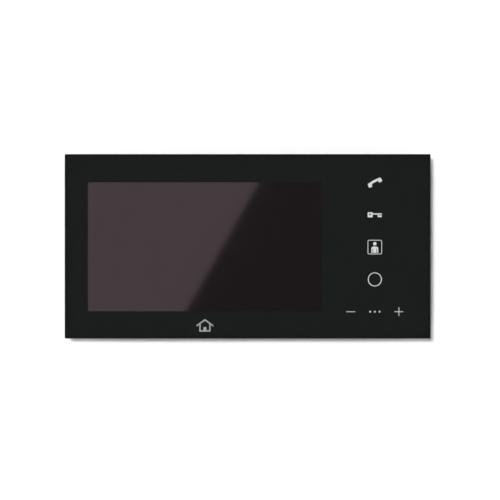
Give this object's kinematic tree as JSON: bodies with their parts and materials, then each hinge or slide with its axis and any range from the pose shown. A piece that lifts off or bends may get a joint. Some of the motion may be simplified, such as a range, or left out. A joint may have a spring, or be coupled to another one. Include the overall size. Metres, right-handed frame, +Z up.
{
  "type": "video intercom monitor",
  "caption": "Slim wall-mounted video intercom monitor: a black glass front with a wide display window and touch keys, on a moulded case hung from a steel wall plate.",
  "frame": {"origin": "centre of the wall plate's screw pattern, on the plate's back face, which lies on the wall", "axes": "+X to the right of a person facing the glass, +Z up, and the glass faces -Y, away from the wall"},
  "size_m": [0.242, 0.022, 0.122],
  "materials": {
    "front_glass": "polished, clear, anti-reflective",
    "black_ink": "screen-printed, seen through the glass",
    "white_ink": "screen-printed, translucent",
    "grey_ink": "screen-printed",
    "foam": "closed-cell foam",
    "black_case": "moulded, fine spark texture",
    "white_plastic": "moulded, satin",
    "lcd_steel": "cold-rolled, bright",
    "lcd_glass": "dark display glass",
    "polariser": "hard-coated film",
    "optical_film": "pearly diffusing film",
    "light_guide": "clear acrylic",
    "reflector": "white film",
    "led": "phosphor in a white body",
    "flex_circuit": "amber polyimide",
    "white_cable": "flat cable",
    "solder_mask": "green solder mask",
    "chip": "moulded epoxy",
    "tinned_steel": "tin-plated",
    "capacitor": "sleeveless can",
    "ferrite": "pressed ferrite",
    "socket_plastic": "nylon",
    "green_plastic": "moulded polyamide",
    "tin": "tin-plated brass",
    "nickel": "nickel-plated",
    "spring_wire": "nickel-plated spring wire",
    "screw_steel": "zinc-plated",
    "black_screw": "black oxide",
    "speaker_frame": "pressed steel, black",
    "magnet": "nickel-plated magnet",
    "paper_cone": "coated paper pulp",
    "rubber": "soft, matt",
    "copper": "enamelled winding",
    "lead_sheath": "PVC twin lead",
    "mic_can": "drawn can",
    "pad": "soft, matt",
    "label": "blank polyester label",
    "zinc_steel": "zinc-plated sheet"
  },
  "bodies": {
    "wall_bracket": {"wall_plate": "zinc_steel"},
    "monitor": {"front_glass": "front_glass", "glass_print": "black_ink", "key_symbols": "white_ink", "front_mark": "grey_ink", "glass_tape": "foam", "lcd_bezel": "lcd_steel", "lcd_polariser": "polariser", "lcd_cell": "lcd_glass", "lcd_films": "optical_film", "lcd_light_guide": "light_guide", "lcd_reflector": "reflector", "lcd_led_bar": "led", "lcd_mould_frame": "white_plastic", "lcd_back_pan": "lcd_steel", "lcd_flex": "flex_circuit", "lcd_gasket": "foam", "lcd_straps": "tinned_steel", "strap_screws": "screw_steel", "front_frame": "black_case", "key_shroud": "white_plastic", "key_board": "solder_mask", "touch_springs": "spring_wire", "key_leds": "led", "key_board_chips": "chip", "key_cable": "white_cable", "main_board": "solder_mask", "board_chips": "chip", "board_shield": "tinned_steel", "board_capacitors": "capacitor", "board_inductors": "ferrite", "board_connectors": "socket_plastic", "board_screws": "screw_steel", "terminal_header": "green_plastic", "header_pins": "tin", "speaker_gasket": "foam", "speaker_basket": "speaker_frame", "speaker_yoke": "magnet", "speaker_magnet": "magnet", "speaker_pole": "magnet", "speaker_surround": "rubber", "speaker_lead": "lead_sheath", "microphone": "mic_can", "microphone_boot": "rubber", "microphone_lead": "lead_sheath", "rear_cover": "black_case", "cover_screws": "black_screw", "wall_pads": "pad", "rating_label": "label"},
    "wiring_plug": {"terminal_plug": "green_plastic", "terminal_clamps": "nickel", "terminal_screws": "screw_steel"},
    "speaker_diaphragm": {"speaker_cone": "paper_cone", "voice_coil": "copper"}
  },
  "joints": [
    {"name": "monitor_lift", "type": "slide", "parent": "wall_bracket", "child": "monitor", "axis": [0, 0, 1], "range_m": [0, 0.007]},
    {"name": "plug_pull", "type": "slide", "parent": "monitor", "child": "wiring_plug", "axis": [0, 0, -1], "range_m": [0, 0.009]},
    {"name": "speaker_travel", "type": "slide", "parent": "monitor", "child": "speaker_diaphragm", "axis": [0, -1, 0], "range_m": [-0.0004, 0.0004], "stiffness_N_per_m": 500, "deforming": ["speaker_surround"]}
  ]
}
